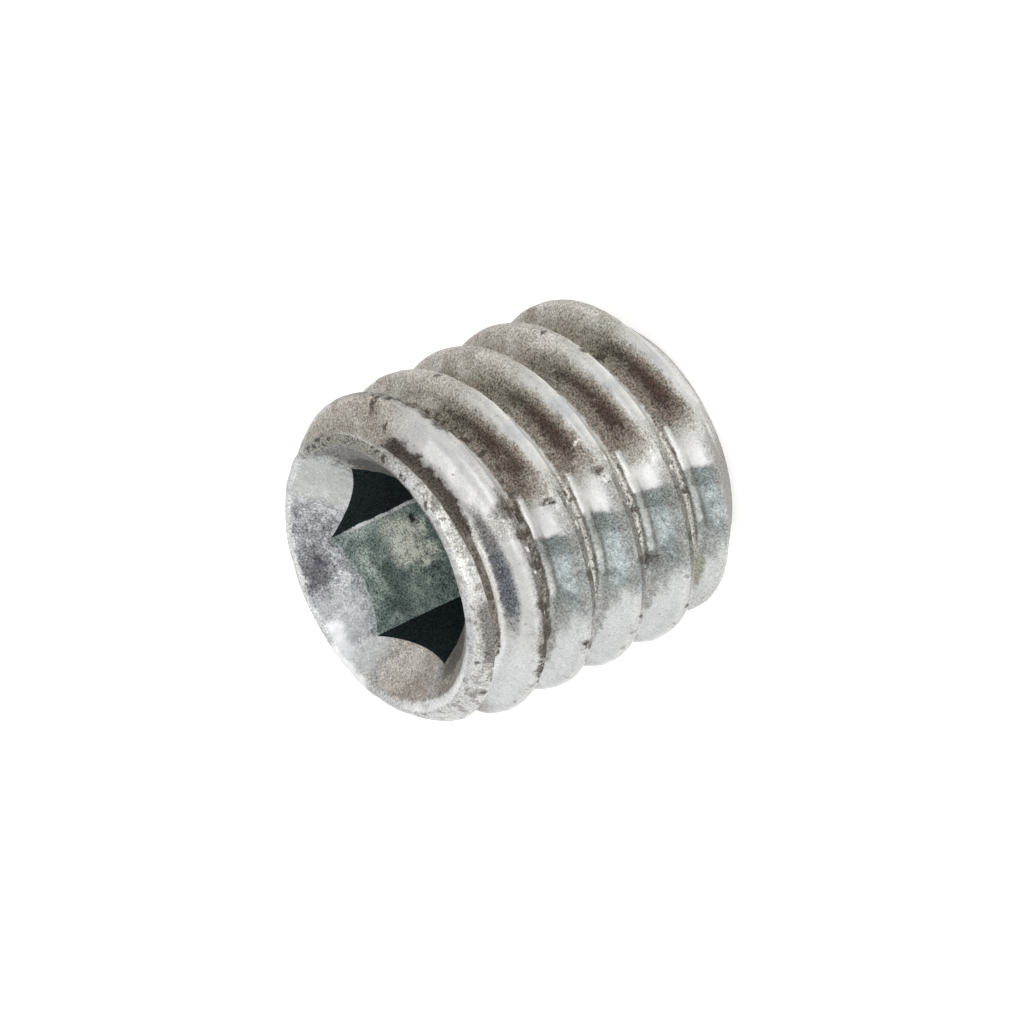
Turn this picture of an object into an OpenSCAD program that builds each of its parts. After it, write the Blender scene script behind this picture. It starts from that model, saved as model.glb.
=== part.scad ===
// Hexagon socket set screw (grub screw) with a flat point, M4 x 0.7, short length.
//
// The screw stands on its point: the axis is +Z, the origin is the centre of the flat point,
// and the hexagon socket opens upwards at the top.  All sizes are in millimetres.

/* [Body] */
// Overall length, from the flat point to the rim of the socket
body_length = 3.85; // [3.4:0.05:5]
// Diameter over the thread crests
major_diameter = 3.90; // [3.84:0.02:4]
// Diameter of the flat face on the point
point_diameter = 2.95; // [2.3:0.05:3.1]
// Length of the chamfer between the point and the full diameter
point_chamfer = 0.45; // [0.3:0.05:0.8]
// Outer diameter of the flat rim round the socket
rim_diameter = 3.30; // [3.2:0.05:3.5]
// Length of the chamfer between the rim and the full diameter
rim_chamfer = 0.50; // [0.3:0.05:0.8]

/* [Thread] */
// Pitch of the single-start right-hand thread
pitch = 0.70; // [0.6:0.01:0.8]
// Width of the flat land left on the crest, between its rounded edges
crest_land = 0.025; // [0.01:0.005:0.1]
// Radius at the root of the groove
root_radius = 0.12; // [0.08:0.01:0.12]
// Radius on each edge of the crest
crest_radius = 0.09; // [0.05:0.01:0.09]
// Height of the groove's centre line where it crosses the +X side, above the point
thread_start = 0.20; // [0:0.05:0.7]
// Flat steps in one turn of the helix
steps_per_turn = 36; // [24:4:48]

/* [Socket] */
// Width across the flats of the hexagon, for a 2 mm key
socket_flats = 2.05; // [2:0.01:2.08]
// Depth of the hexagon's full section, below the rim
socket_depth = 1.80; // [1.2:0.05:2.3]
// Diameter of the countersink where it meets the rim
countersink_diameter = 3.10; // [2.6:0.05:3.1]
// Included angle of the countersink
countersink_angle = 100; // [90:5:120]
// Included angle of the cone that closes the bottom of the socket
bottom_angle = 130; // [110:5:140]

/* [Hidden] */
$fn = 96;

flank_angle = 30;
overrun = 0.30;
major_radius = major_diameter / 2;
hexagon_radius = socket_flats / sqrt(3);
socket_tip = body_length - socket_depth - hexagon_radius / tan(bottom_angle / 2);
cone_radius = countersink_diameter / 2;
cone_depth = cone_radius / tan(countersink_angle / 2);

// Half of the groove's section, as [height from its centre line, radius], from root to crest.
// The root arc, the straight flank and the crest arc run into each other tangentially.
crest_centre = (pitch - crest_land) / 2;
flank_run = crest_centre - (root_radius + crest_radius) * cos(flank_angle);
thread_depth = flank_run / tan(flank_angle) + (root_radius + crest_radius) * (1 - sin(flank_angle));
root_bottom = major_radius - thread_depth;
root_arc = [
    for (a = [20 : 20 : 60])
        [root_radius * sin(a), root_bottom + root_radius * (1 - cos(a))]
];
crest_arc = [
    for (a = [60 : -24 : 12])
        [crest_centre - crest_radius * sin(a), major_radius - crest_radius * (1 - cos(a))]
];
flare = [pitch / 2 - crest_land / 4, major_radius + overrun];
half_section = concat(root_arc, crest_arc, [flare]);
section = concat(
    [for (i = [len(half_section) - 1 : -1 : 0]) [-half_section[i][0], half_section[i][1]]],
    [[0, root_bottom]],
    half_section
);

// The helix runs on by this many turns past each end of the body, so that it ends in the clear
overrun_turns = 0.6;
first_turn = -thread_start / pitch - overrun_turns;
last_turn = (body_length - thread_start) / pitch + overrun_turns;
step_count = ceil((last_turn - first_turn) * steps_per_turn);

function on_helix(p, turn) = [
    p[1] * cos(360 * turn),
    p[1] * sin(360 * turn),
    thread_start + pitch * turn + p[0]
];

// Solid that fills the groove of the thread: the section swept along the helix
module thread_groove() {
    n = len(section);
    points = [
        for (s = [0 : step_count], p = section)
            on_helix(p, first_turn + s / steps_per_turn)
    ];
    sides = [
        for (s = [0 : step_count - 1], i = [0 : n - 1])
            let (a = s * n + i, b = s * n + (i + 1) % n)
                [[a, a + n, b], [b, a + n, b + n]]
    ];
    caps = [
        [for (i = [0 : n - 1]) i],
        [for (i = [n - 1 : -1 : 0]) step_count * n + i]
    ];
    polyhedron(points = points, faces = concat([for (pair = sides, f = pair) f], caps));
}

// Turned blank: flat point, chamfer, full diameter, chamfer, flat rim
module blank() {
    rotate_extrude()
        polygon([
            [0, 0],
            [point_diameter / 2, 0],
            [major_radius, point_chamfer],
            [major_radius, body_length - rim_chamfer],
            [rim_diameter / 2, body_length],
            [0, body_length]
        ]);
}

// Hexagon closed by a shallow cone, and the countersink at its mouth
module socket() {
    bottom_reach = 2 * hexagon_radius;
    intersection() {
        translate([0, 0, socket_tip - overrun])
            cylinder(r = hexagon_radius, h = body_length - socket_tip + 2 * overrun, $fn = 6);
        rotate_extrude()
            polygon([
                [0, socket_tip],
                [bottom_reach, socket_tip + bottom_reach / tan(bottom_angle / 2)],
                [bottom_reach, body_length + 2 * overrun],
                [0, body_length + 2 * overrun]
            ]);
    }
    translate([0, 0, body_length - cone_depth])
        cylinder(r1 = 0, r2 = 2 * cone_radius, h = 2 * cone_depth);
}

// The whole screw, in worn zinc-plated steel
module set_screw() {
    color("silver")
        difference() {
            blank();
            socket();
            thread_groove();
        }
}

set_screw();
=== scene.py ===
"""Dressed model of a worn zinc-plated grub screw, standing on its flat point."""
import math

import bmesh
import bpy
import numpy as np
from mathutils import Matrix, Vector, noise


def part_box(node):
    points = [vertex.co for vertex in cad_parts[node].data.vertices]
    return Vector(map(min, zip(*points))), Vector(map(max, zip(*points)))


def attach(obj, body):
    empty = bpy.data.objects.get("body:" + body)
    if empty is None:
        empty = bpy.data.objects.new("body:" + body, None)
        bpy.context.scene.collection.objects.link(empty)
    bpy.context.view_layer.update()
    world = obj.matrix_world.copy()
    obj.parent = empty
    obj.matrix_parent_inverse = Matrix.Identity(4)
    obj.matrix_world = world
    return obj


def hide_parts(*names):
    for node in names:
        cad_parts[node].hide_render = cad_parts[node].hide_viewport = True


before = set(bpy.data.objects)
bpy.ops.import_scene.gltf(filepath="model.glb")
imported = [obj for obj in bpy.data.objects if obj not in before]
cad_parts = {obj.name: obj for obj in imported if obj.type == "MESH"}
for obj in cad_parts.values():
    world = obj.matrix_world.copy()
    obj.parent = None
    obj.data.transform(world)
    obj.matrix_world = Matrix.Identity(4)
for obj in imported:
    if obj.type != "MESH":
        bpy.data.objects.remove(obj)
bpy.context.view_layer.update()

# ---------------------------------------------------------------- sizes, in millimetres
MM = 0.001
LOW, HIGH = (np.array(corner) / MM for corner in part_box("set_screw"))
LENGTH = float(HIGH[2] - LOW[2])
CREST = float(HIGH[0] - LOW[0]) / 2

# The rest of the screw's form, as in the part's source
PITCH = 0.70
CREST_LAND = 0.025
ROOT_ROUND = 0.12
CREST_ROUND = 0.09
FLANK_ANGLE = math.radians(30)
GROOVE_START = 0.20
POINT_RADIUS = 1.475
POINT_CHAMFER = 0.45
RIM_RADIUS = 1.65
RIM_CHAMFER = 0.50
COUNTERSINK_RADIUS = 1.55
COUNTERSINK_HALF = math.radians(50)
FLATS = 2.05
SOCKET_DEPTH = 1.80
BOTTOM_HALF = math.radians(65)

CREST_CENTRE = (PITCH - CREST_LAND) / 2
FLANK_RUN = CREST_CENTRE - (ROOT_ROUND + CREST_ROUND) * math.cos(FLANK_ANGLE)
ROUNDS_DEPTH = (ROOT_ROUND + CREST_ROUND) * (1 - math.sin(FLANK_ANGLE))
ROOT = CREST - FLANK_RUN / math.tan(FLANK_ANGLE) - ROUNDS_DEPTH
SOCKET_TIP = LENGTH - SOCKET_DEPTH - FLATS / math.sqrt(3) / math.tan(BOTTOM_HALF)
MM_PER_DEGREE = math.radians(CREST)     # round the crest

# Rounding of the edges, which the solids leave sharp
RIM_ROUND = 0.12
LIP_ROUND = 0.08
MOUTH_ROUND = 0.03
FLOOR_ROUND = 0.04
POINT_ROUND = 0.06
EDGE_SOFTNESS = 0.035          # width over which the thread and the chamfers run together
LIP_FOOT = COUNTERSINK_RADIUS - 0.06    # radius where the lip's rounding meets the cone

# Rows and columns of the mesh
COLUMNS = 360
ROWS_PER_PITCH = 38
END_BAND = 0.07                # height at each end where the rows no longer follow the thread
RIM_ROWS = 9                   # rows from there to the countersink, which the groove may cut
INNER_RING = 0.05              # radius of the innermost ring on the flat point
FLAT = 0.001                   # rows lower than this lie in the flat point
WELD = 0.0004                  # points closer than this become one
SLIVER = 0.0002                # edges shorter than this are taken out

# Dents and worn unevenness, each as (depth in mm, number to a mm, shift in the noise)
DENTS = [(0.010, 1.6, (0, 0, 0)), (0.006, 5.0, (7, 3, 1)), (0.004, 12.0, (2, 5, 9))]
DENT_FADE = 0.1                # height above the flat point over which they set in


# ---------------------------------------------------------------- shape of the screw
def groove_radius(offset):
    """Radius of the thread's surface at a height offset from the groove's centre line."""
    x = np.abs((offset + PITCH / 2) % PITCH - PITCH / 2)
    root_end = ROOT_ROUND * math.cos(FLANK_ANGLE)
    crest_end = CREST_CENTRE - CREST_ROUND * math.cos(FLANK_ANGLE)
    root = ROOT + ROOT_ROUND - np.sqrt(np.maximum(ROOT_ROUND**2 - x**2, 0))
    flank_foot = ROOT + ROOT_ROUND * (1 - math.sin(FLANK_ANGLE))
    flank = flank_foot + (x - root_end) / math.tan(FLANK_ANGLE)
    crest = CREST - CREST_ROUND + np.sqrt(np.maximum(CREST_ROUND**2 - (x - CREST_CENTRE)**2, 0))
    return np.select([x < root_end, x < crest_end, x < CREST_CENTRE], [root, flank, crest], CREST)


def soft_min(a, b):
    """Smaller of two radii, rounded off where they cross."""
    h = np.maximum(EDGE_SOFTNESS - np.abs(a - b), 0) / EDGE_SOFTNESS
    return np.minimum(a, b) - h * h * EDGE_SOFTNESS / 4


def groove_offset(angle, height):
    """Height above the centre line of the groove, at an angle in radians from +X."""
    return height - GROOVE_START - PITCH * angle / (2 * math.pi)


def front_cone(height):
    """Radius of the chamfer behind the rim."""
    return RIM_RADIUS + (LENGTH - height) * (CREST - RIM_RADIUS) / RIM_CHAMFER


def rear_cone(height):
    """Radius of the chamfer above the point."""
    return POINT_RADIUS + height * (CREST - POINT_RADIUS) / POINT_CHAMFER


def outer_radius(angle, height):
    """Radius of the threaded body, with the chamfer of each end."""
    thread = groove_radius(groove_offset(angle, height))
    return soft_min(soft_min(thread, front_cone(height)), rear_cone(height))


def hexagon_radius(angle):
    """Distance of the hexagon's wall from the axis, at an angle in radians from +X."""
    turned = (angle % (math.pi / 3)) - math.pi / 6
    return FLATS / 2 / np.cos(turned)


def rounded_corner(before, corner, after, radius, steps):
    """Points of an arc that rounds the corner of a section."""
    before, corner, after = (np.array(p, float) for p in (before, corner, after))
    u = (before - corner) / np.linalg.norm(before - corner)
    v = (after - corner) / np.linalg.norm(after - corner)
    half = math.acos(max(-1, min(1, float(u @ v)))) / 2
    middle = (u + v) / np.linalg.norm(u + v)
    centre = corner + middle * radius / math.sin(half)
    start = corner + u * radius / math.tan(half) - centre
    end = corner + v * radius / math.tan(half) - centre
    sweep = math.pi - 2 * half
    points = []
    for i in range(steps + 1):
        t = i / steps
        a = math.sin((1 - t) * sweep) / math.sin(sweep)
        b = math.sin(t * sweep) / math.sin(sweep)
        points.append(centre + a * start + b * end)
    return points


def straight(start, end, steps):
    """Points that divide a line into even steps, from after its start to its end."""
    start, end = np.array(start), np.array(end)
    return [start + (end - start) * (i + 1) / steps for i in range(steps)]


def socket_section(angle):
    """Section from the end band over the rim and down the socket to its centre, at one angle."""
    wall = float(hexagon_radius(angle))
    start = (front_cone(LENGTH - END_BAND), LENGTH - END_BAND)
    rim = (RIM_RADIUS, LENGTH)
    lip = (COUNTERSINK_RADIUS, LENGTH)
    mouth = (wall, LENGTH - (COUNTERSINK_RADIUS - wall) / math.tan(COUNTERSINK_HALF))
    floor = (wall, SOCKET_TIP + wall / math.tan(BOTTOM_HALF))
    tip = (0.0, SOCKET_TIP)
    rim_arc = rounded_corner(start, rim, lip, RIM_ROUND, 5)
    lip_arc = rounded_corner(rim, lip, mouth, LIP_ROUND, 5)
    mouth_arc = rounded_corner(lip, mouth, floor, MOUTH_ROUND, 5)
    floor_arc = rounded_corner(mouth, floor, tip, FLOOR_ROUND, 3)
    line = [np.array(start)] + rim_arc
    line += straight(rim_arc[-1], lip_arc[0], 2) + lip_arc[1:]
    line += straight(lip_arc[-1], mouth_arc[0], 12) + mouth_arc[1:]
    line += straight(mouth_arc[-1], floor_arc[0], 22) + floor_arc[1:]
    line += straight(floor_arc[-1], tip, 5)[:-1]
    return line


def point_section():
    """Section from the end band at the point to the innermost ring of the flat face."""
    start = (rear_cone(END_BAND), END_BAND)
    arc = rounded_corner(start, (POINT_RADIUS, 0), (0, 0), POINT_ROUND, 6)
    return [np.array(start)] + arc + straight(arc[-1], (INNER_RING, 0), 8)


def helix_rows():
    """Height offsets of the mesh rows in one pitch, evenly spaced along the thread's surface."""
    x = np.linspace(-PITCH / 2, PITCH / 2, 2001)
    r = groove_radius(x)
    run = np.concatenate([[0], np.cumsum(np.hypot(np.diff(x), np.diff(r)))])
    return np.interp(np.linspace(0, run[-1], ROWS_PER_PITCH + 1)[:-1], run, x)


def body_grid():
    """Angles of the columns, and rows of (radius, height) from the point up and into the socket."""
    angles = np.linspace(0, 2 * math.pi, COLUMNS + 1)
    rows = []
    for r, z in reversed(point_section()):
        radius, height = np.full_like(angles, r), np.full_like(angles, z)
        if z > FLAT:
            radius = np.minimum(radius, outer_radius(angles, height))
        rows.append((radius, height))
    offsets = helix_rows()
    first = math.floor((END_BAND - GROOVE_START) / PITCH) - 2
    last = math.ceil((LENGTH - GROOVE_START) / PITCH) + 1
    for turn in range(first, last + 1):
        for offset in offsets:
            height = GROOVE_START + turn * PITCH + offset + PITCH * angles / (2 * math.pi)
            if height.max() < END_BAND or height.min() > LENGTH - END_BAND:
                continue
            height = np.clip(height, END_BAND, LENGTH - END_BAND)
            rows.append((outer_radius(angles, height), height))
    sections = np.array([socket_section(a) for a in angles])
    for i in range(sections.shape[1]):
        radius, height = sections[:, i, 0], sections[:, i, 1]
        if i < RIM_ROWS:
            radius = np.minimum(radius, groove_radius(groove_offset(angles, height)))
        rows.append((radius, height))
    return angles, rows


def build_mesh():
    """The screw's whole skin: the grid's rows joined by faces, and closed at both centres."""
    angles, rows = body_grid()
    radius = np.array([r for r, z in rows])
    height = np.array([z for r, z in rows])
    grid = np.stack([radius * np.cos(angles), radius * np.sin(angles), height], -1) * MM
    count, width = radius.shape
    faces = []
    for i in range(count - 1):
        for a in range(i * width, i * width + width - 1):
            faces.append((a, a + 1, a + 1 + width, a + width))
    verts = np.concatenate([grid.reshape(-1, 3), [[0, 0, 0], [0, 0, SOCKET_TIP * MM]]])
    point_centre, socket_centre = len(verts) - 2, len(verts) - 1
    last_row = (count - 1) * width
    for j in range(width - 1):
        faces.append((point_centre, j + 1, j))
        faces.append((socket_centre, last_row + j, last_row + j + 1))
    mesh = bpy.data.meshes.new("worn_screw")
    mesh.from_pydata(verts.tolist(), [], faces)
    bm = bmesh.new()
    bm.from_mesh(mesh)
    bmesh.ops.remove_doubles(bm, verts=bm.verts, dist=WELD * MM)
    bmesh.ops.dissolve_degenerate(bm, dist=SLIVER * MM, edges=bm.edges)
    bm.to_mesh(mesh)
    bm.free()
    mesh.validate()
    mesh.update()
    return mesh


def roughen(mesh):
    """Pushes the dents in along the normals, and leaves the point flat."""
    mesh.shade_smooth()
    co = np.empty(len(mesh.vertices) * 3)
    mesh.vertices.foreach_get("co", co)
    co = co.reshape(-1, 3)
    normals = np.array([v.normal[:] for v in mesh.vertices])
    push = np.zeros(len(co))
    for i, point in enumerate(co / MM):
        for depth, scale, shift in DENTS:
            push[i] += depth * noise.noise(Vector(point) * scale + Vector(shift))
    ease = np.clip(co[:, 2] / MM / DENT_FADE, 0, 1)
    co += normals * (push * ease)[:, None] * MM
    co[:, 2] = np.maximum(co[:, 2], 0)
    mesh.vertices.foreach_set("co", co.ravel())
    mesh.update()


# ---------------------------------------------------------------- formulas in nodes
class Field:
    """A number worked out by nodes at each point of a surface."""

    def __init__(self, tree, socket):
        self.tree = tree
        self.socket = socket

    def math(self, operation, *others):
        node = self.tree.nodes.new("ShaderNodeMath")
        node.operation = operation
        for socket, value in zip(node.inputs, (self, *others)):
            plug(self.tree, socket, value)
        return Field(self.tree, node.outputs[0])

    def __add__(self, other):
        return self.math("ADD", other)

    def __sub__(self, other):
        return self.math("SUBTRACT", other)

    def __rsub__(self, other):
        return (self * -1) + other

    def __mul__(self, other):
        return self.math("MULTIPLY", other)

    def __truediv__(self, other):
        return self.math("DIVIDE", other)

    __radd__ = __add__
    __rmul__ = __mul__


def plug(tree, socket, value):
    """Puts a field, a socket or a plain value into a socket."""
    if isinstance(value, Field):
        tree.links.new(value.socket, socket)
    elif isinstance(value, bpy.types.NodeSocket):
        tree.links.new(value, socket)
    else:
        socket.default_value = value


def smooth(field, low, high):
    """0 at low, 1 at high, and a smooth run between; high may be the lower of the two."""
    node = field.tree.nodes.new("ShaderNodeMapRange")
    node.interpolation_type = "SMOOTHSTEP"
    plug(field.tree, node.inputs["Value"], field)
    node.inputs["From Min"].default_value = low
    node.inputs["From Max"].default_value = high
    return Field(field.tree, node.outputs[0])


def band(field, low, high, soft):
    """1 between low and high, fading to 0 over soft."""
    rise = smooth(field, low - soft / 2, low + soft / 2)
    fall = smooth(field, high - soft / 2, high + soft / 2)
    return rise * (1 - fall)


def blended(a, b, amount):
    """Number between a and b, the nearer to b the larger the amount."""
    return amount * b + (1 - amount) * a


def linear(hex_colour):
    """Linear colour from the hex code of a display colour."""
    parts = [int(hex_colour[i:i + 2], 16) / 255 for i in (1, 3, 5)]
    return tuple(p / 12.92 if p < 0.04045 else ((p + 0.055) / 1.055) ** 2.4 for p in parts) + (1,)


# How strongly the noises vary a colour: the two finest by way of the film of dirt
GRAIN, GRIT, FINE, BLOTCH = 0.75, 0.09, 0.22, 0.14
DARKEST = 0.15                 # the least that they leave of a colour


class Surface:
    """A material painted in layers, with the coordinates that its masks are written in.

    x, y, z and the radius are in millimetres.  The angle goes round the axis in degrees, from 0
    at the front (-Y) to 90 at +X.  The noises lie about 0, mostly within -0.5 and 0.5.
    """

    def __init__(self, name, colour, metallic, roughness, speckle):
        self.material = bpy.data.materials.new(name)
        self.material.use_nodes = True
        self.tree = self.material.node_tree
        self.shader = self.tree.nodes["Principled BSDF"]
        self.colour = linear(colour)
        self.metallic = metallic
        self.roughness = roughness
        self.speckle = speckle
        place = self.tree.nodes.new("ShaderNodeTexCoord").outputs["Object"]
        self.mm = self.scaled(place, 1 / MM)
        split = self.tree.nodes.new("ShaderNodeSeparateXYZ")
        self.tree.links.new(self.mm, split.inputs[0])
        self.x, self.y, self.z = (Field(self.tree, s) for s in split.outputs)
        self.radius = (self.x * self.x + self.y * self.y).math("SQRT")
        self.angle = self.x.math("ARCTAN2", self.y * -1) * math.degrees(1)
        self.broad = self.noise(0.9, detail=2, seed=1)
        self.blotch = self.noise(3.2, detail=3, seed=2)
        self.fine = self.noise(9.0, detail=3, seed=3)
        self.grit = self.noise(18.0, detail=2, seed=5, roughness=0.6)
        self.grain = self.noise(46.0, detail=1, seed=4, roughness=0.7)

    def scaled(self, vector, factor):
        """A vector or a colour times a number."""
        node = self.tree.nodes.new("ShaderNodeVectorMath")
        node.operation = "SCALE"
        plug(self.tree, node.inputs[0], vector)
        plug(self.tree, node.inputs["Scale"], factor)
        return node.outputs[0]

    def noise(self, scale, detail, seed, roughness=0.5):
        """Noise with features 1 / scale mm wide."""
        node = self.tree.nodes.new("ShaderNodeTexNoise")
        node.noise_dimensions = "4D"
        self.tree.links.new(self.mm, node.inputs["Vector"])
        node.inputs["W"].default_value = seed
        node.inputs["Scale"].default_value = scale
        node.inputs["Detail"].default_value = detail
        node.inputs["Roughness"].default_value = roughness
        return (Field(self.tree, node.outputs["Fac"]) - 0.5) * 2

    def sector(self, centre, half, soft, warp=0.0):
        """1 within half a width of an angle round the axis, fading over soft, in degrees."""
        turned = (self.angle + warp - centre + 540).math("MODULO", 360)
        away = (turned - 180).math("ABSOLUTE")
        return 1 - smooth(away, half - soft / 2, half + soft / 2)

    def mixed(self, a, b, amount):
        """Colour between a and b."""
        node = self.tree.nodes.new("ShaderNodeMix")
        node.data_type = "RGBA"
        plug(self.tree, node.inputs[0], amount)
        plug(self.tree, node.inputs[6], a)
        plug(self.tree, node.inputs[7], b)
        return node.outputs[2]

    def tone(self, a, b, amount):
        """Colour between two hex codes."""
        return self.mixed(linear(a), linear(b), amount)

    def paint(self, amount, colour, metallic=None, roughness=None, speckle=None):
        """Lays a colour over what is there, by amount, with its own gloss and grain if given."""
        value = linear(colour) if isinstance(colour, str) else colour
        self.colour = self.mixed(self.colour, value, amount)
        if metallic is not None:
            self.metallic = blended(self.metallic, metallic, amount)
        if roughness is not None:
            self.roughness = blended(self.roughness, roughness, amount)
        if speckle is not None:
            self.speckle = blended(self.speckle, speckle, amount)

    def finish(self, height, depth):
        """Connects the shader, with a bump of the given depth in millimetres."""
        film = self.grain * GRAIN + self.grit * GRIT
        mottle = 1 + film * self.speckle + self.fine * FINE + self.blotch * BLOTCH
        colour = self.scaled(self.colour, mottle.math("MAXIMUM", DARKEST))
        plug(self.tree, self.shader.inputs["Base Color"], colour)
        plug(self.tree, self.shader.inputs["Metallic"], self.metallic)
        plug(self.tree, self.shader.inputs["Roughness"], self.roughness)
        bump = self.tree.nodes.new("ShaderNodeBump")
        bump.inputs["Distance"].default_value = depth * MM
        plug(self.tree, bump.inputs["Height"], height)
        self.tree.links.new(bump.outputs[0], self.shader.inputs["Normal"])
        return self.material


class Thread(Surface):
    """The surface outside the rim, with coordinates that follow the groove.

    turn is a whole number on the groove's centre line, and grows by 1 with each pitch towards
    the rim.  In pitches too, offset is the height above the nearest centre line, and lap the
    height above the last one, beside the rim.  first is 1 above the crest next to the rim,
    others is 1 below it, and near_rim is 1 on the laps next to the rim.
    """

    def __init__(self, name, colour, metallic, roughness, speckle):
        super().__init__(name, colour, metallic, roughness, speckle)
        front_to_x = 90 / 360  # of a turn; the groove starts at +X
        self.turn = (self.z - GROOVE_START) / PITCH - self.angle / 360 + front_to_x
        self.offset = self.turn - self.turn.math("ROUND")
        self.from_root = self.offset.math("ABSOLUTE")
        self.lap = self.turn - 5
        self.near_rim = smooth(self.turn, 3.6, 3.7)
        self.first = smooth(self.turn, 4.49, 4.51)
        self.others = 1 - self.first

    def blots(self, places):
        """1 inside blots of ragged outline, each at an angle and a turn, with a size in mm."""
        ragged_angle = self.angle + self.fine * 2.5 + self.grit * 2
        ragged_turn = self.turn + self.fine * 0.04 + self.grit * 0.03
        total = None
        for angle, turn, size in places:
            along = (ragged_angle - angle) * (MM_PER_DEGREE * 2 / size)
            across = (ragged_turn - turn) * (PITCH * 2 / size)
            blot = 1 - smooth(along * along + across * across, -0.3, 2.3)
            total = blot if total is None else total.math("MAXIMUM", blot)
        return total

    def clots(self, low, high):
        """1 in lumps of dirt, which are more frequent near the rim."""
        lumps = self.grit * 0.8 + self.fine * 0.9 + self.blotch * 0.5
        return smooth(lumps + self.near_rim * 0.22, low, high)


class Rim(Surface):
    """The rim and the countersink.

    rim is 1 outside the countersink's edge, cone is 1 within it, and inner near the hexagon.
    """

    def __init__(self, name, colour, metallic, roughness, speckle):
        super().__init__(name, colour, metallic, roughness, speckle)
        self.rim = smooth(self.radius + self.fine * 0.03, LIP_FOOT, COUNTERSINK_RADIUS)
        self.cone = 1 - self.rim
        self.inner = 1 - smooth(self.radius + self.fine * 0.08, 1.26, 1.38)


# ---------------------------------------------------------------- materials
# How metallic and how rough the layers are
PLATE = (0.4, 0.4)
POLISHED = (0.3, 0.35)
RUBBED = (0.3, 0.4)
DULL = (0.2, 0.6)
GRIMY = (0.1, 0.6)
SOOTY = (0.1, 0.7)
CAKED = (0.0, 0.8)

# Blots of dirt on the thread, each as (angle, turn, size in mm)
STAINS = [
    (2, 4.46, 0.22), (-8, 4.45, 0.14), (-18, 4.43, 0.08), (-32, 4.46, 0.13), (-43, 4.43, 0.09),
    (-50, 4.47, 0.14), (38, 4.42, 0.17), (52, 4.40, 0.14), (66, 4.38, 0.12), (46, 4.93, 0.16),
    (66, 4.64, 0.12), (53, 4.47, 0.10), (61, 4.52, 0.07), (38, 4.89, 0.08), (57, 4.80, 0.06),
    (-2, 3.67, 0.09), (0, 2.60, 0.10), (-5, 2.55, 0.05), (-58, 3.56, 0.10), (-43, 1.95, 0.18),
    (-31, 3.42, 0.12), (41, 1.42, 0.10), (45, 0.92, 0.14), (-22, 1.02, 0.10), (57, 1.55, 0.08),
    (-33, 1.42, 0.12), (-34, 2.44, 0.10), (61, 3.52, 0.06), (44, 4.44, 0.13), (57, 4.43, 0.10),
    (50, 4.45, 0.07), (-62, 4.47, 0.10), (-67, 4.44, 0.06), (-60, 3.46, 0.09), (-57, 2.47, 0.06),
    (-60, 5.24, 0.10), (-68, 5.36, 0.08), (-52, 5.52, 0.07), (-64, 1.47, 0.07), (-69, 3.44, 0.05),
    (150, 3.20, 0.14), (205, 2.50, 0.12), (118, 1.60, 0.12), (-110, 4.10, 0.13), (-140, 1.40, 0.14),
]
# Small chips where the plate is rubbed bright, given in the same way
CHIPS = [
    (-13, 4.40, 0.07), (-13, 3.36, 0.09), (-5, 3.38, 0.07), (-14, 2.37, 0.06), (12, 2.66, 0.05),
    (3, 2.40, 0.06), (-27, 3.40, 0.06), (-9, 1.38, 0.07), (-36, 4.39, 0.05), (-21, 4.41, 0.05),
]


def thread_material():
    """Zinc plate on the thread: polished and dulled patches, soot, and dirt in the groove, with painted
    highlights, painted dark reflections and painted shade on the crests.
    """
    s = Thread("worn_zinc_thread", "#dad9d4", *PLATE, speckle=0.3)
    lay_tarnish_and_crest_shade(s)
    lay_patina_and_dark_reflection(s)
    lay_polish_and_highlight(s)
    lay_soot_and_dark_reflection(s)
    lay_crest_dirt(s)
    lay_groove_dirt(s)
    lay_scuffs_and_root_highlight(s)
    lay_ring(s)
    lay_first_rib(s)
    lay_rim_dirt(s)
    lay_streak(s)
    lay_marks(s)
    return s.finish(s.grain * 0.6 + s.fine * 0.4, 0.001)


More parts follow.
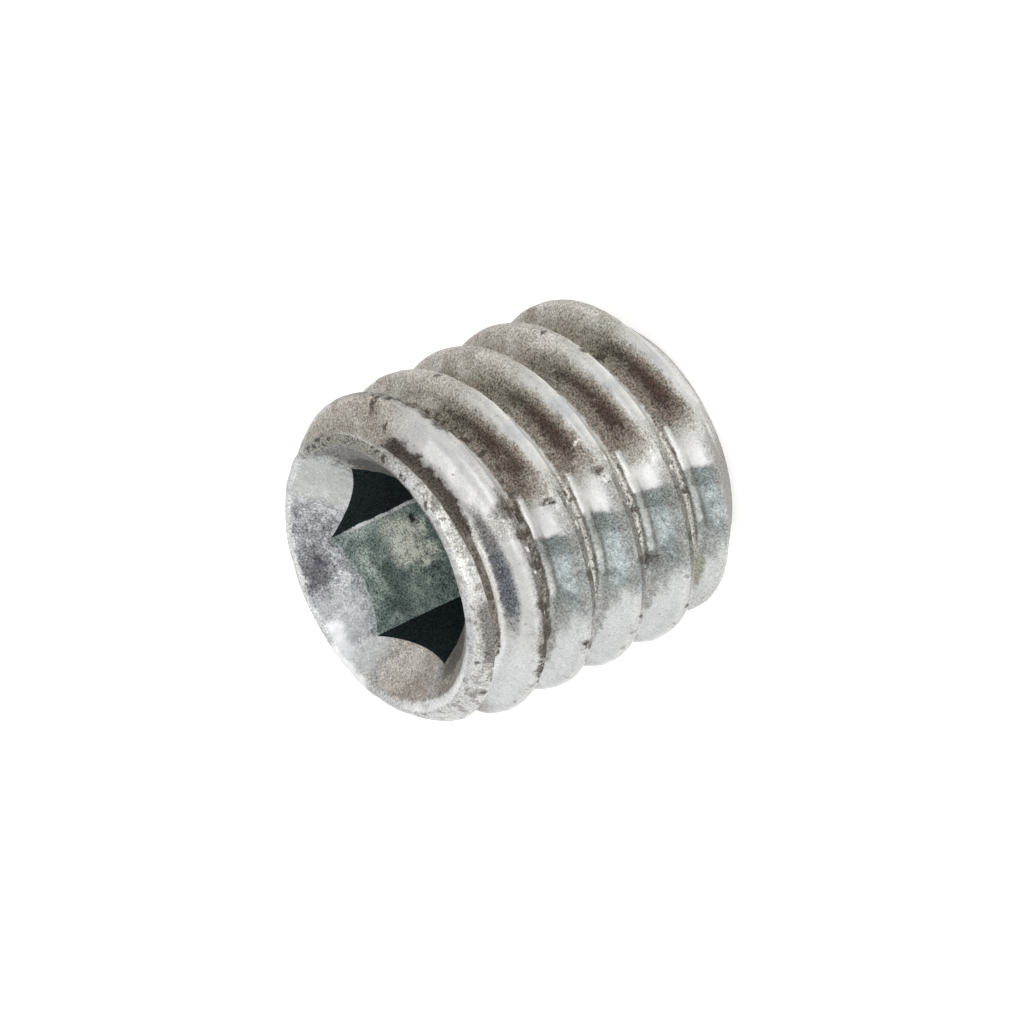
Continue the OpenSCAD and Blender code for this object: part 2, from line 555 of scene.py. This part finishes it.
def lay_tarnish_and_crest_shade(s):
    """Warm grey, grainy film over one side, darker towards the root, and painted shade that dulls the
    crests.
    """
    warp = s.blotch * 10 + s.broad * 8
    s.paint(s.sector(-75, 28, 20, warp) * 0.7, "#e2e5e5", speckle=0.7)
    # Painted shade: darker towards the crests, which catch the bright floor's light
    s.paint(smooth(s.offset * -1, 0.26, 0.44) * 0.55, "#bab9b6")
    veins = smooth(s.blotch * 0.7 + s.fine * 0.6, -0.05, 0.35) * s.sector(-66, 22, 14, warp)
    s.paint(veins * 0.35, "#b3aead", speckle=1.0)
    # Painted shade on the crest tops
    s.paint(smooth(s.from_root, 0.42, 0.46) * 0.5, "#aeadaa", speckle=0.4)
    upper = band(s.offset, 0.0, 0.40, 0.06) * s.sector(26, 21, 8, s.fine * 6) * s.others
    s.paint(upper * 0.9, "#dfdedb")
    s.paint(s.sector(90, 44, 26, warp) * 0.95, "#c0bab1", roughness=0.5, speckle=2.0)
    deep = s.sector(85, 40, 24, warp) * smooth(s.offset + s.fine * 0.08, -0.40, -0.22)
    s.paint(deep * 0.8, "#a29b90", roughness=0.5, speckle=2.2)
    side = s.sector(72, 28, 20, warp)
    s.paint(side * smooth(s.blotch + s.broad * 0.6, -0.02, 0.36) * 0.6, "#d3d0ca", speckle=1.4)
    s.paint(side * smooth(s.broad - s.blotch * 0.7, 0.02, 0.4) * 0.55, "#9d9c88", speckle=2.0)
    s.paint(side * smooth(s.blotch * -1 + s.fine * 0.5, 0.0, 0.4) * 0.5, "#95847a", speckle=2.2)
    edge = smooth(s.from_root, 0.40, 0.46)
    s.paint(edge * s.sector(74, 18, 14, warp) * 0.6, "#918c85", speckle=1.8)
    s.paint(edge * s.sector(44, 9, 8, warp) * 0.4, "#a09d97", speckle=1.2)
    cool = s.sector(24, 3.5, 4, s.blotch * 5) * smooth(s.from_root + s.fine * 0.06, 0.34, 0.40)
    s.paint(cool * 0.55, "#a9adb0", speckle=0.3)
    strewn = smooth(s.grit + s.blotch * 0.5, 0.28, 0.42) * s.sector(-64, 22, 10, warp)
    s.paint(strewn * 0.5, "#9c9d9a", speckle=1.4)
    s.paint(s.sector(175, 50, 30, warp) * 0.9, "#b4b1ab", roughness=0.5, speckle=1.8)
    s.paint(s.sector(-140, 30, 30, warp) * 0.8, "#c8c7c2", roughness=0.5, speckle=1.2)


def lay_patina_and_dark_reflection(s):
    """Blue-grey mottled film beside the bright strip, with a darker edge; it is partly a painted dark
    bluish reflection, with pale painted highlights at the foot of the flanks.
    """
    # Blue-grey film, partly a painted dark bluish reflection
    patch = s.sector(-30, 16.5, 9, s.blotch * 9 + s.fine * 5) * s.others
    pale = smooth(s.blotch * 0.7 + s.fine * 0.7 + s.grit * 0.6, -0.35, 0.35)
    film = s.tone("#8a9392", "#bec7c8", pale)
    s.paint(patch * 0.95, film, roughness=0.5, speckle=1.5)
    # Pale painted highlights at the foot of the flanks
    foot = band(s.offset + s.fine * 0.1, -0.37, -0.17, 0.08)
    light = s.sector(-29, 5.5, 5, s.blotch * 7 + s.fine * 4) * foot
    s.paint(light * s.others * (0.6 + s.fine * 0.6), "#ced7d8", speckle=1.3)
    # Darker column at the film's edge, part of the painted dark reflection
    column = s.sector(-17.6, 3.6, 1.8, s.blotch * 3 + s.fine * 1.2) * s.others
    s.paint(column * (0.85 + s.fine * 0.4), "#868d8c", roughness=0.5, speckle=2.2)
    back = s.sector(148, 13, 12, s.blotch * 9 + s.fine * 4)
    s.paint(back * 0.8, film, roughness=0.5, speckle=1.9)


def lay_polish_and_highlight(s):
    """Strip of polished plate along the screw, sharp at one edge and fading at the other, with a painted
    highlight in white at the foot of its flanks.
    """
    ragged = s.angle + s.blotch * 3 + s.fine * 1.5
    dull = smooth(ragged, -9, 0) * (1 - smooth(ragged, 5, 10)) * s.others
    s.paint(dull * 0.9, "#b3b0aa", speckle=1.7)
    strip = smooth(ragged, -14.5, -12) * (1 - smooth(ragged + s.fine * 4, -11, 4)) * s.others
    foot = smooth(s.offset + s.fine * 0.15 + s.blotch * 0.1, -0.52, -0.30)
    s.paint(strip * 0.9, "#c4c3bd", *POLISHED, speckle=0.5)
    # Painted highlight: white at the foot of each flank, for the overhead strip lamp's reflection that
    # the next rib hides
    s.paint(strip * foot * (0.9 + s.blotch * 0.5), "#ffffff", *POLISHED, speckle=0.2)


def lay_soot_and_dark_reflection(s):
    """Brown-black grime on the flanks that face the socket, over part of the way round; it also stands
    in for a dark reflection on those flanks.
    """
    low = (s.angle - 5) * 0.0021 - 0.408
    reach = smooth(s.offset - low + s.fine * 0.08, -0.05, 0.06) * s.others
    below_root = 1 - smooth(s.offset + s.fine * 0.05, -0.04, 0.03)
    warp = s.blotch * 8 + s.fine * 6
    # Grime that is partly a painted dark reflection on the flanks
    veil = s.sector(29.5, 27, 12, warp) * reach * below_root
    olive = smooth(s.angle + warp, 28, 42)
    s.paint(veil * 0.95, s.tone("#81776b", "#847f72", olive), *SOOTY, speckle=3.0)
    high = 1 - smooth(s.offset + s.fine * 0.06, -0.21, -0.11)
    core = s.sector(28, 19, 13, warp) * smooth(s.offset - low, 0.02, 0.12) * high * s.others
    broken = smooth(s.blotch + s.fine * 0.5 + s.grit * 0.4, -1.1, 0.1)
    s.paint(core * broken, s.tone("#413128", "#464135", olive), *CAKED, speckle=4.0)
    far = s.sector(-125, 25, 20, s.broad * 16 + s.fine * 6)
    far *= smooth(s.offset + s.fine * 0.06, -0.4, -0.3)
    s.paint(far * below_root * (0.75 + s.blotch * 0.6), "#7d746b", *SOOTY, speckle=2.8)


def lay_crest_dirt(s):
    """Speckled dirt on the crests, and thicker dirt in a ridge behind the first one."""
    warp = s.blotch * 8 + s.fine * 5
    side = smooth(s.offset + s.fine * 0.06, 0.32, 0.38) * (1 - smooth(s.turn, 4.9, 5.0))
    s.paint(side * s.sector(-28, 28, 12, warp) * 0.9, "#67635c", *DULL, speckle=2.4)
    s.paint(side * s.sector(-60, 14, 12, warp) * 0.6, "#a5a39f", *DULL, speckle=1.6)
    top = smooth(s.from_root + s.fine * 0.05, 0.28, 0.40) * (1 - side) * s.others
    s.paint(top * s.sector(-25, 20, 12, warp) * 0.75, "#7d7b76", *DULL, speckle=2.0)
    s.paint(side * s.sector(66, 16, 16, warp) * 0.7, "#a39d94", speckle=2.2)
    mass = s.turn + s.fine * 0.10 + s.grit * 0.07 + s.blotch * 0.05
    lower = smooth(s.angle, -18, -40)
    ridge = band(mass - lower * 0.045, 4.30, 4.49, 0.08) * s.sector(-23, 30, 10, warp)
    ridge_tone = s.tone("#6f665c", "#51483f", lower)
    s.paint(ridge * (0.8 + lower * 0.12), ridge_tone, *CAKED, speckle=2.8)
    ridge_end = band(mass, 4.30, 4.49, 0.08) * s.sector(54, 10, 10, warp)
    s.paint(ridge_end * 0.8, "#6b6258", *CAKED, speckle=2.8)
    reach = s.sector(56, 20, 14, warp) * s.near_rim
    reach += s.sector(-26, 34, 12, warp) * (0.35 + s.near_rim * 0.6)
    strewn = band(s.turn + s.fine * 0.04, 4.3, 4.56, 0.04) + side
    s.paint(strewn * s.clots(-0.05, 0.42) * reach * 0.95, "#2c241d", *CAKED, speckle=2.8)
    edge = smooth(s.from_root + s.fine * 0.08, 0.36, 0.43) * s.sector(-63, 17, 12, warp)
    broken = smooth(s.blotch * 0.5 + s.grit * 0.6 + s.fine * 0.8, -0.05, 0.45)
    s.paint(edge * broken * 0.65, "#625c55", *CAKED, speckle=2.2)


def lay_groove_dirt(s):
    """Dirt along the root of the groove and on both sides of it."""
    clots = s.clots(0.05, 0.45)
    front = s.sector(-27, 32, 8, s.fine * 6)
    root = band(s.offset + s.fine * 0.03, -0.06, 0.24, 0.04) * front
    s.paint(root * 0.9, s.tone("#b0aca4", "#958f86", s.near_rim), *DULL, speckle=2.4)
    ridge = band(s.offset + s.fine * 0.02, 0.0, 0.055, 0.03) * front * (1 - s.near_rim)
    s.paint(ridge * (0.75 + s.fine * 0.9 + s.blotch * 0.5), "#e2e0da", *RUBBED, speckle=1.2)
    s.paint(root * clots * 0.9, "#382e26", *CAKED, speckle=2.4)
    crack = band(s.offset + s.fine * 0.02, -0.068, -0.022, 0.03) * s.sector(-24, 23, 8, s.fine * 6)
    s.paint(crack * (0.75 + s.fine * 0.8), "#5d564e", *SOOTY, speckle=2.0)
    lip = band(s.offset + s.fine * 0.05, -0.15, 0.0, 0.05) * s.sector(40, 35, 14, s.fine * 6)
    s.paint(lip * clots * s.others * (0.35 + s.near_rim * 0.6), "#463c33", *CAKED, speckle=2.2)
    outer = s.sector(-70, 24, 14, s.fine * 5) * band(s.offset + s.fine * 0.05, -0.17, -0.04, 0.05)
    s.paint(outer * s.others * (0.7 + s.fine * 0.8), "#8d8a84", *DULL, speckle=2.0)
    seam = band(s.offset + s.fine * 0.03, -0.10, 0.0, 0.03) * s.sector(-60, 9, 8, s.fine * 6)
    s.paint(seam * s.near_rim * s.others * 0.9, "#4d443a", *CAKED, speckle=2.0)
    olive = outer * (1 - smooth(s.turn, 1.4, 1.5)) * s.sector(-66, 12, 12, s.fine * 6)
    s.paint(olive * 0.6, "#8f8f70", *GRIMY)


def lay_scuffs_and_root_highlight(s):
    """Two scuffs, and a painted highlight: the thin bright line in the rounded root at the foot of the
    flank.
    """
    cloud = s.sector(-44, 5, 9, s.blotch * 8 + s.fine * 5)
    cloud *= band(s.turn + s.fine * 0.06, 1.66, 2.02, 0.12)
    s.paint(cloud * 0.7, "#6a6f6e", *GRIMY, speckle=2.4)
    scuff = s.sector(-49, 8, 10, s.blotch * 10 + s.fine * 6)
    scuff *= band(s.offset + s.fine * 0.05, -0.27, -0.1, 0.08)
    s.paint(scuff * s.others * 0.75, "#989b98", *DULL, speckle=2.0)
    # Painted highlight in the rounded root, brightest in two places
    line = band(s.offset + s.fine * 0.016, -0.146, -0.090, 0.03) * s.others
    s.paint(line * s.sector(-5, 9, 4, s.fine * 3) * 0.95, "#ecece8", *POLISHED, speckle=0.4)
    middle, bright = s.sector(-24, 13, 12, s.fine * 8), s.sector(-31, 4, 12, s.fine * 8)
    s.paint(line * middle * (0.7 + s.fine), "#c6c7c3", speckle=0.8)
    s.paint(line * bright * (0.7 + s.fine * 1.2), "#f0f0ec", speckle=0.6)
    below = band(s.offset, -0.182, -0.152, 0.02) * s.sector(-25, 14, 10)
    s.paint(below * 0.6, "#7c7972")


def lay_ring(s):
    """Spotted grey of the chamfer between the first rib and the rim."""
    ring = smooth(s.lap, 0.18, 0.24) * s.sector(0, 130, 50)
    s.paint(ring * 0.8, "#c2c1bd", speckle=1.4)
    s.paint(ring * smooth(s.fine + s.grit * 0.4, -0.05, 0.12) * 0.7, "#8f8c86", speckle=1.6)
    light = band(s.lap, 0.36, 0.7, 0.04) * s.sector(-5, 25, 12, s.fine * 6)
    s.paint(light * (0.6 - s.fine), "#dddcd8", speckle=0.9)
    spots = smooth(s.fine + s.grit * 0.8 + s.blotch * 0.5, 0.08, 0.35)
    s.paint(ring * spots * 0.75, "#77726b", *GRIMY, speckle=2.0)
    s.paint(ring * s.sector(38, 7, 10, s.fine * 6) * 0.35, "#6b655d", *SOOTY, speckle=2.4)


def lay_first_rib(s):
    """Tones of the rib beside the rim: grey, with a cool smear and two bruises."""
    warp = s.fine * 6
    flank = band(s.lap, -0.50, -0.12, 0.08) * s.sector(4, 50, 16, s.blotch * 8)
    s.paint(flank * 0.7, "#c8c7c4", speckle=0.3)
    smear = smooth(s.blotch + s.fine * 0.4, 0.05, 0.5) * s.sector(22, 26, 14, warp)
    s.paint(smear * band(s.lap, -0.46, -0.16, 0.08) * 0.7, "#a9abaf", speckle=0.5)
    crest = band(s.lap + s.fine * 0.03, -0.62, -0.46, 0.06) * smooth(s.angle, -46, -20)
    s.paint(crest * 0.4, "#9b9995", speckle=1.0)
    s.paint(s.sector(-2, 5.5, 4, s.fine * 4) * s.first * 0.75, "#aba9a4", speckle=2.2)
    bruise = s.sector(-45, 7, 8, warp) * band(s.lap + s.fine * 0.1, -0.52, -0.40, 0.08)
    s.paint(bruise * 0.8, "#8f8d88", speckle=2.2)


def lay_rim_dirt(s):
    """Thick dirt in the groove beside the rim, thinner towards its two ends."""
    warp = s.fine * 6
    foot = s.lap + smooth(s.angle, -10, 14) * 0.12 + s.fine * 0.07
    thick = band(foot, -0.03, 0.36, 0.07) * s.sector(24, 30, 8, s.blotch * 4)
    thick *= 1 - smooth(s.lap + s.fine * 0.08, 0.17, 0.29)
    thick_tone = s.tone("#3b322b", "#5d534a", smooth(s.lap + s.fine * 0.1, -0.06, 0.08))
    s.paint(thick * 0.97, thick_tone, *CAKED, speckle=3.4)
    lumps = smooth(s.grit * 0.7 + s.fine * 0.8 + s.blotch * 0.6, -0.05, 0.45)
    s.paint(thick * lumps * 0.7, "#231c17", *CAKED, speckle=3.0)
    start = band(s.lap + s.fine * 0.08, 0.1, 0.43, 0.08) * s.sector(-40, 14, 8, warp)
    s.paint(start * 0.95, "#726e69", *SOOTY, speckle=2.4)
    thin = band(s.lap + s.fine * 0.05, -0.03, 0.20, 0.04) * s.sector(-22, 24, 10, warp)
    s.paint(thin * 0.9, "#7d776f", *SOOTY, speckle=2.2)
    s.paint(thin * smooth(s.fine + s.blotch * 0.5, 0.0, 0.3) * 0.8, "#4a4138", *CAKED)


def lay_streak(s):
    """Dark oval streak on the first rib, with a bright band, and beside it a thin painted highlight in
    the root of the groove.
    """
    low = band(s.lap + s.fine * 0.02, -0.32, -0.19, 0.05) * s.sector(20, 18, 8, s.blotch * 6)
    s.paint(low * 0.75, "#f0efec", speckle=0.4)
    along = (s.angle + s.blotch * 5 + 23) / 22
    across = (s.lap + s.fine * 0.02 + 0.203) / 0.095
    away = along * along + across * across + s.fine * 0.5 + s.grit * 0.2
    s.paint(1 - smooth(away, 0.25, 1.45), "#5f6267", *GRIMY, speckle=3.0)
    tail = s.sector(-2, 9, 8, s.fine * 4) * band(s.lap + s.fine * 0.03, -0.25, -0.17, 0.06)
    s.paint(tail * 0.8, "#74726f", speckle=2.2)
    # Painted highlight in the root of the groove beside the rim
    line = band(s.lap, -0.115, -0.045, 0.02) * s.sector(-24, 19, 10)
    s.paint(line * (0.8 + s.fine * 0.8), "#d6d5d0", speckle=0.6)


def lay_marks(s):
    """Blots, chips and specks over the whole thread, the duller end at the point, and painted shade on
    part of the point's chamfer, which faces away.
    """
    s.paint(s.blots(STAINS) * (0.9 + s.grit * 0.9), "#41372f", *CAKED, speckle=2.6)
    s.paint((1 - smooth(s.z, 0.30, 0.50)) * 0.6, "#b9b7b3", *GRIMY, speckle=1.4)
    # Painted shade on part of the chamfer at the point, which faces away
    rear = (1 - smooth(s.turn + s.fine * 0.04, 0.56, 0.64)) * s.sector(-30, 24, 14, s.blotch * 8)
    s.paint(rear * 0.75, "#85827d", *GRIMY, speckle=1.8)
    s.paint(s.blots(CHIPS) * 0.9, "#efefea", *RUBBED, speckle=0.4)
    specks = smooth(s.noise(15.0, detail=1, seed=6), 0.40, 0.52)
    s.paint(specks * 0.55, "#6f6a63", *SOOTY)


def rim_material():
    """Zinc plate on the rounded rim and in the countersink, dulled in patches, with light and shade
    painted round the cone and painted highlights on the rim.
    """
    s = Rim("worn_zinc_rim", "#c9cac8", *PLATE, speckle=1.0)
    lay_countersink_light_and_shade(s)
    lay_countersink_soot_and_shadow(s)
    lay_margin(s)
    lay_rim_wear_and_highlights(s)
    return s.finish(s.grain, 0.001)


def lay_countersink_light_and_shade(s):
    """Light, grey and beige patches that follow each other round the cone: painted light and shade by
    angle round the cone, in grey and beige tints.
    """
    warp = s.blotch * 5 + s.fine * 7
    film = s.tone("#8e9092", "#c0c2c2", smooth(s.fine + s.grit * 0.6, -0.3, 0.3))
    s.paint(s.cone * 0.9, film, speckle=1.8)
    # Painted light and shade, patch by patch round the cone
    s.paint(s.cone * s.sector(112, 15, 10, warp) * 0.95, "#c5c6c3", speckle=0.6)
    grey = s.tone("#7d7d82", "#a9a9ae", smooth(s.fine + s.grit * 0.7, -0.3, 0.3))
    s.paint(s.cone * s.sector(155, 20, 14, warp) * 0.9, grey, speckle=2.4)
    bruise = s.sector(167, 9, 12, s.fine * 12) * band(s.radius + s.fine * 0.12, 1.27, 1.50, 0.12)
    s.paint(bruise * (0.9 + s.fine * 0.8), "#4c4a50", speckle=2.8)
    s.paint(s.cone * s.sector(193, 13, 10, warp) * 0.9, "#afb2b3", speckle=0.9)
    # Painted highlight
    shine = s.cone * s.sector(198, 9, 7, warp) * smooth(s.radius + s.fine * 0.05, 1.34, 1.44)
    s.paint(shine * 0.95, "#e0e1e2", speckle=0.15)
    s.paint(s.cone * s.sector(213, 6, 6, warp) * 0.9, "#c6c7c6", speckle=0.6)
    s.paint(s.cone * s.sector(20, 45, 20, warp) * (0.9 + s.fine * 0.6), "#9d9d98", speckle=1.6)
    beige = s.tone("#a79e94", "#c1bab1", smooth(s.blotch + s.fine * 0.6, -0.4, 0.4))
    s.paint(s.cone * s.sector(243, 22, 18, warp) * 0.9, beige, roughness=0.5, speckle=1.7)
    # Painted shade in beige on the outer part of the cone
    outer = s.cone * s.sector(248, 16, 14, warp) * (1 - s.inner)
    s.paint(outer * 0.25, "#8f8178", roughness=0.5, speckle=2.0)
    s.paint(s.cone * s.sector(181, 6, 6, warp) * 0.5, "#8f9193", speckle=1.6)


def lay_countersink_soot_and_shadow(s):
    """Sooty patches on the cone, darkest beside the hexagon and partly painted shade, and a painted
    shadow on the outer part of the cone near the front.
    """
    warp = s.blotch * 5 + s.fine * 7
    # Soot, partly painted shade, darkest beside the hexagon
    s.paint(s.cone * s.sector(288, 20, 14, warp) * 0.95, "#8f8880", roughness=0.6, speckle=2.6)
    s.paint(s.cone * s.sector(287, 16, 14, warp) * s.inner * 0.95, "#5a544e", roughness=0.6, speckle=2.6)
    s.paint(s.cone * s.sector(30, 9, 10, warp) * s.inner * 0.8, "#84837f", speckle=2.2)
    # Painted shadow on the outer part of the cone near the front
    outer = s.cone * s.sector(17, 21, 14, warp) * smooth(s.radius + s.fine * 0.06, 1.28, 1.44)
    s.paint(outer * 0.9, "#6b6a66", speckle=2.2)
    s.paint(s.cone * s.sector(71, 21, 14, warp) * 0.95, "#837f79", roughness=0.6, speckle=2.6)
    s.paint(s.cone * s.sector(67, 18, 12, warp) * s.inner * 0.9, "#4f4e4a", roughness=0.6, speckle=2.6)


def lay_margin(s):
    """Grime on the cone along the edge of the pale wall."""
    near = 1 - smooth(s.y + s.fine * 0.10 + s.grit * 0.05, FLATS / 2 + 0.01, FLATS / 2 + 0.11)
    s.paint(near * s.sector(180, 29, 6) * 0.7, "#767a78", speckle=2.4)


def lay_rim_wear_and_highlights(s):
    """Speckled dirt on one side of the rim; painted highlights on the other: a pale stretch, a bright
    wedge and a bright bead on the lip's rounding.
    """
    warp = s.blotch * 10 + s.fine * 6
    s.paint(s.rim * smooth(s.fine + s.grit * 0.4, -0.05, 0.12) * 0.6, "#9b9893", speckle=1.4)
    s.paint(s.rim * s.sector(68, 30, 20, warp) * 0.95, "#8f8a82", roughness=0.5, speckle=2.6)
    spots = smooth(s.fine + s.grit * 0.6 + s.blotch * 0.4, 0.12, 0.30)
    dirty = s.rim * s.sector(60, 48, 20, warp) * spots
    s.paint(dirty * 0.9, "#403a34", roughness=0.6, speckle=2.0)
    # Painted highlights on the rim: a pale stretch and a bright wedge
    s.paint(s.rim * s.sector(150, 44, 24, warp) * 0.85, "#dedede", speckle=1.2)
    s.paint(s.rim * s.sector(262, 34, 30, warp) * 0.5, "#d6d6d4", speckle=1.4)
    s.paint(s.rim * s.sector(208, 12, 5, s.blotch * 6) * 0.95, "#fafaf8", speckle=0.2)
    spotted = s.rim * s.sector(-65, 50, 20, warp) * spots
    s.paint(spotted * 0.7, "#85807a", roughness=0.6, speckle=1.8)
    edge = 1 - smooth(s.radius + s.fine * 0.04, COUNTERSINK_RADIUS, COUNTERSINK_RADIUS + 0.05)
    s.paint(s.rim * edge * s.sector(20, 20, 16, warp) * 0.9, "#58534c", roughness=0.6, speckle=1.8)
    # Painted highlight: a bright bead on the lip's rounding
    bead = band(s.radius + s.fine * 0.02, LIP_FOOT, COUNTERSINK_RADIUS + 0.05, 0.03)
    s.paint(bead * s.sector(277, 30, 20, warp) * (0.75 + s.fine * 0.9), "#f2f2f0", speckle=0.6)
    outer = smooth(s.radius + s.fine * 0.02, RIM_RADIUS - 0.03, RIM_RADIUS)
    s.paint(outer * s.sector(195, 26, 10, warp) * 0.6, "#8d8a86", speckle=1.4)


def socket_material():
    """Dark hexagon, partly dark residue and partly painted shade of the recess, with one paler wall and
    a painted highlight along the corner beside it.
    """
    # Dark residue with the recess's shade painted in
    s = Surface("sooty_shaded_socket", "#20292a", metallic=0.0, roughness=0.7, speckle=5.0)
    lay_pale_wall(s)
    # Painted highlight along the corner between two walls
    corner_highlight = s.sector(150.3, 1.0, 0.9, s.fine * 0.8) * band(s.z + s.fine * 0.2, 2.1, 3.3, 0.3)
    s.paint(corner_highlight * (0.75 + s.blotch * 0.9 + s.fine * 0.8), "#ffffff", speckle=1.0)
    s.shader.inputs["Specular IOR Level"].default_value = 0.15
    return s.finish(s.grain, 0.003)


def lay_pale_wall(s):
    """Grey-green film on the wall that faces the front, rubbed pale beside one corner."""
    wall = s.sector(180, 30, 0.4) * smooth(s.z + s.fine * 0.08, 1.98, 2.14)
    tone = s.tone("#7c8c87", "#a9b7af", smooth(s.blotch + s.fine * 0.6, -0.25, 0.4))
    s.paint(wall, tone, speckle=2.4)
    across = s.x + s.fine * 0.16 + s.grit * 0.08
    height = s.z + s.blotch * 0.16 + s.fine * 0.14 + s.grit * 0.08
    rubbed = band(across - (s.z - 2.6) * 0.3, -0.10, 0.46, 0.20) * band(height, 2.42, 2.92, 0.20)
    s.paint(wall * rubbed * (0.8 + s.fine * 1.2 + s.grit * 0.8), "#fbffee", speckle=1.8)
    speck_across = band(s.x + s.fine * 0.05, 0.36, 0.46, 0.05)
    speck_height = band(s.z + s.fine * 0.05, 2.46, 2.55, 0.05)
    s.paint(wall * speck_across * speck_height * 0.95, "#232b2b")
    patch = band(across, 0.06, 0.34, 0.12) * band(height, 3.16, 3.36, 0.12)
    s.paint(wall * patch * 0.55, "#dbe6dc", speckle=2.0)
    shade = band(across, -0.56, 0.12, 0.14) * band(height, 2.98, 3.22, 0.14)
    s.paint(wall * shade * 0.6, "#46524d", speckle=2.6)
    streak = band(across, 0.46, 0.60, 0.10) * band(height, 2.8, 3.4, 0.3)
    s.paint(wall * streak * 0.6, "#c2cec8", speckle=2.0)
    s.paint(wall * smooth(s.blotch + s.fine * 0.5, -0.3, -0.6) * 0.6, "#4d5856")


# The mesh's material slots
THREAD, RIM, SOCKET = 0, 1, 2
RIM_BAND = 0.04                # depth of the rounded rim below the top
MOUTH_RADIUS = 1.52            # faces within this, above the socket's tip, lie in the socket
TIP_MARGIN = 0.1
CONE_REACH = 0.06              # the most that a face of the cone lies above or below it
WALL_REACH = 0.004             # the least that it lies outside the hexagon
LIP_REACH = 0.05               # the most that a face of the lip lies inside the rim's flat


def slot_at(x, y, z):
    """Material slot of the face with this middle."""
    r = math.hypot(x, y)
    in_socket = r < MOUTH_RADIUS and z > SOCKET_TIP - TIP_MARGIN
    if z <= LENGTH - RIM_BAND and not in_socket:
        return THREAD
    cone = LENGTH - (COUNTERSINK_RADIUS - r) / math.tan(COUNTERSINK_HALF)
    outside_hexagon = r > float(hexagon_radius(math.atan2(y, x))) + WALL_REACH
    on_cone = outside_hexagon and abs(z - cone) < CONE_REACH
    on_lip = r > COUNTERSINK_RADIUS - LIP_REACH
    return RIM if on_cone or on_lip else SOCKET


def assign_materials(mesh):
    """Gives the mesh its materials, and each face the slot of the place where it lies."""
    for material in (thread_material(), rim_material(), socket_material()):
        mesh.materials.append(material)
    for face in mesh.polygons:
        face.material_index = slot_at(*(c / MM for c in face.center))


# ---------------------------------------------------------------- floor, camera and light
FLOOR_SIZE = 600.0
FLOOR_GREY = 0.7
FLOOR_GLOW = 0.6               # light of the floor's own, which brings it near to white
SKY_COLOUR = (0.98, 0.99, 1, 1)
SKY_STRENGTH = 0.7
TILT = math.radians(58.8)      # angle between the screw's axis and the line of sight
ROLL = math.radians(25.37)     # turn of the picture that lays the axis along its diagonal
DISTANCE = 300.0
PICTURE_WIDTH = 11.25275       # width of the picture at the screw's middle
SENSOR_WIDTH = 36
LAMP_DISTANCE = 110.0


def pale_floor():
    """Floor that shows the soft shadow and comes out nearly white."""
    bpy.ops.mesh.primitive_plane_add(size=FLOOR_SIZE * MM, location=(0, 0, 0))
    floor = bpy.context.object
    floor.name = "floor"
    mat = bpy.data.materials.new("pale_floor")
    mat.use_nodes = True
    bsdf = mat.node_tree.nodes["Principled BSDF"]
    bsdf.inputs["Base Color"].default_value = (FLOOR_GREY, FLOOR_GREY, FLOOR_GREY, 1)
    bsdf.inputs["Roughness"].default_value = 0.8
    bsdf.inputs["Emission Color"].default_value = (1, 1, 1, 1)
    bsdf.inputs["Emission Strength"].default_value = FLOOR_GLOW
    floor.data.materials.append(mat)


def aimed(place, right, up, back):
    """Matrix that puts something at a place, in millimetres from the screw's middle, with the
    given directions as its axes."""
    middle = Vector((0, 0, LENGTH / 2))
    turned = Matrix((right, up, back)).transposed().to_4x4()
    return Matrix.Translation((place + middle) * MM) @ turned


def add_camera():
    """Camera in front of the screw and above it, turned so that the socket faces the lower left
    of the picture."""
    st, ct, sr, cr = math.sin(TILT), math.cos(TILT), math.sin(ROLL), math.cos(ROLL)
    back = Vector((0, -st, ct))
    right = Vector((-sr, -ct * cr, -st * cr))
    up = Vector((cr, -ct * sr, -st * sr))
    data = bpy.data.cameras.new("camera")
    data.sensor_width = SENSOR_WIDTH
    data.lens = SENSOR_WIDTH * DISTANCE / PICTURE_WIDTH
    data.clip_start = 0.001
    data.clip_end = 10
    cam = bpy.data.objects.new("camera", data)
    bpy.context.scene.collection.objects.link(cam)
    cam.matrix_world = aimed(back * DISTANCE, right, up, back)
    bpy.context.scene.camera = cam


def add_softbox(name, climb, side, size, brightness):
    """Area light aimed at the screw.  climb goes from the camera's side (0) over the top (90) to
    the far side (180), side goes from the left (-90) to the right (90), in degrees; size is its
    length along the climb and its width, in millimetres."""
    climb, side = math.radians(climb), math.radians(side)
    sc, cc, ss, cs = math.sin(climb), math.cos(climb), math.sin(side), math.cos(side)
    out = Vector((ss, -cc * cs, sc * cs))
    across = Vector((cs, cc * ss, -sc * ss))
    data = bpy.data.lights.new(name, "AREA")
    data.shape = "RECTANGLE"
    data.size = size[1] * MM
    data.size_y = size[0] * MM
    data.energy = brightness * math.pi * data.size * data.size_y
    lamp = bpy.data.objects.new(name, data)
    bpy.context.scene.collection.objects.link(lamp)
    lamp.matrix_world = aimed(out * LAMP_DISTANCE, across, out.cross(across), out)


def add_lights():
    """Pale surroundings with a bright strip overhead and two wide panels."""
    world = bpy.data.worlds.new("studio")
    bpy.context.scene.world = world
    world.use_nodes = True
    background = world.node_tree.nodes["Background"]
    background.inputs["Color"].default_value = SKY_COLOUR
    background.inputs["Strength"].default_value = SKY_STRENGTH
    add_softbox("strip", climb=78, side=-7, size=(110, 17), brightness=1.2)
    add_softbox("left_panel", climb=80, side=-66, size=(120, 80), brightness=0.7)
    add_softbox("front_panel", climb=48, side=0, size=(90, 110), brightness=1.7)


mesh = build_mesh()
assign_materials(mesh)
roughen(mesh)
screw = bpy.data.objects.new("worn_grub_screw", mesh)
bpy.context.scene.collection.objects.link(screw)
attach(screw, "root")
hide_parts("set_screw")

pale_floor()
add_camera()
add_lights()
bpy.context.scene.view_settings.view_transform = "Standard"
